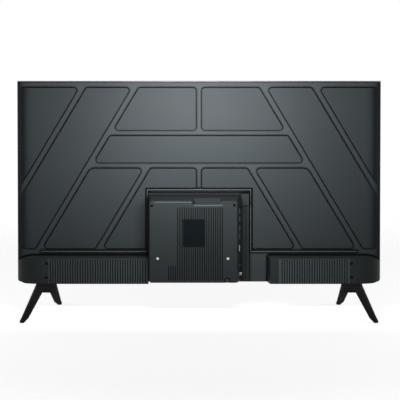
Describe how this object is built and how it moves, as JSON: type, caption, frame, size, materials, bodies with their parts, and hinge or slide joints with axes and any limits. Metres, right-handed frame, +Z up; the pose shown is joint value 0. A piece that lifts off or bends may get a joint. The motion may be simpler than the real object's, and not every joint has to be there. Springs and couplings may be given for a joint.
{
  "type": "flat screen tv",
  "caption": "Flat screen television on splayed feet: slim screen with an embossed steel back, ribbed lower housings and a ribbed electronics cover with side ports.",
  "frame": {"origin": "on the floor under the middle of the whole set", "axes": "+Z up, the screen faces -Y, +Y towards the rear, +X along the width, to the left as seen from the rear"},
  "size_m": [0.957, 0.215, 0.622],
  "materials": {
    "bezel_plastic": "satin",
    "sheet_paint": "satin dark grey paint",
    "housing_plastic": "fine matt texture",
    "foot_plastic": "semi-matt",
    "pad_rubber": "matt",
    "panel_glass": "dark polarised glass, semi-gloss",
    "film_plastic": "translucent film",
    "guide_acrylic": "clear acrylic",
    "reflector_white": "white",
    "frame_plastic": "black",
    "bare_aluminium": "satin",
    "zinc_steel": "bright zinc",
    "black_steel": "black oxide",
    "board_green": "solder resist",
    "board_white": "white solder resist",
    "part_black": "moulded black",
    "tinned_shell": "tinned",
    "nickel_barrel": "nickel",
    "plate_dark": "bare",
    "ferrite_grey": "ferrite",
    "cable_white": "flat cable",
    "lens_red": "dark infrared lens"
  },
  "bodies": {
    "set": {"front_bezel": "bezel_plastic", "sensor_lens": "lens_red", "sensor_board": "board_green", "display_panel": "panel_glass", "prism_film": "film_plastic", "diffuser_film": "film_plastic", "light_guide_plate": "guide_acrylic", "reflector_sheet": "reflector_white", "middle_frame": "frame_plastic", "light_bar": "bare_aluminium", "lamp_strip": "board_white", "back_sheet": "sheet_paint", "board_standoffs": "zinc_steel", "cover_posts": "zinc_steel", "electronics_cover": "housing_plastic", "lower_housing_left": "housing_plastic", "lower_housing_right": "housing_plastic", "foot_left": "foot_plastic", "foot_right": "foot_plastic", "foot_pads": "pad_rubber", "foot_bracket_left": "zinc_steel", "foot_bracket_right": "zinc_steel", "foot_screws": "black_steel", "cover_screws": "zinc_steel", "top_cover_screws": "black_steel", "board_screws": "zinc_steel", "rating_plate": "plate_dark", "main_board": "board_green", "power_board": "board_green", "timing_board": "board_green", "signal_flat_cable": "cable_white", "main_heat_sink": "bare_aluminium", "wifi_module": "tinned_shell", "power_transformer": "ferrite_grey", "filter_capacitors": "part_black", "power_heat_sink": "bare_aluminium", "usb_socket_1": "tinned_shell", "usb_socket_2": "tinned_shell", "hdmi_socket_1": "tinned_shell", "hdmi_socket_2": "tinned_shell", "lan_socket": "tinned_shell", "optical_socket": "part_black", "av_socket": "part_black", "antenna_socket": "nickel_barrel", "mains_inlet": "part_black", "key_board": "board_green", "key_board_screws": "zinc_steel", "speaker_left": "part_black", "speaker_right": "part_black"},
    "key": {"control_key": "part_black"}
  },
  "joints": [
    {"name": "key_press", "type": "slide", "parent": "set", "child": "key", "axis": [0, -1, 0], "range_m": [0, 0.0008], "stiffness_N_per_m": 500, "springref_m": -0.001}
  ]
}
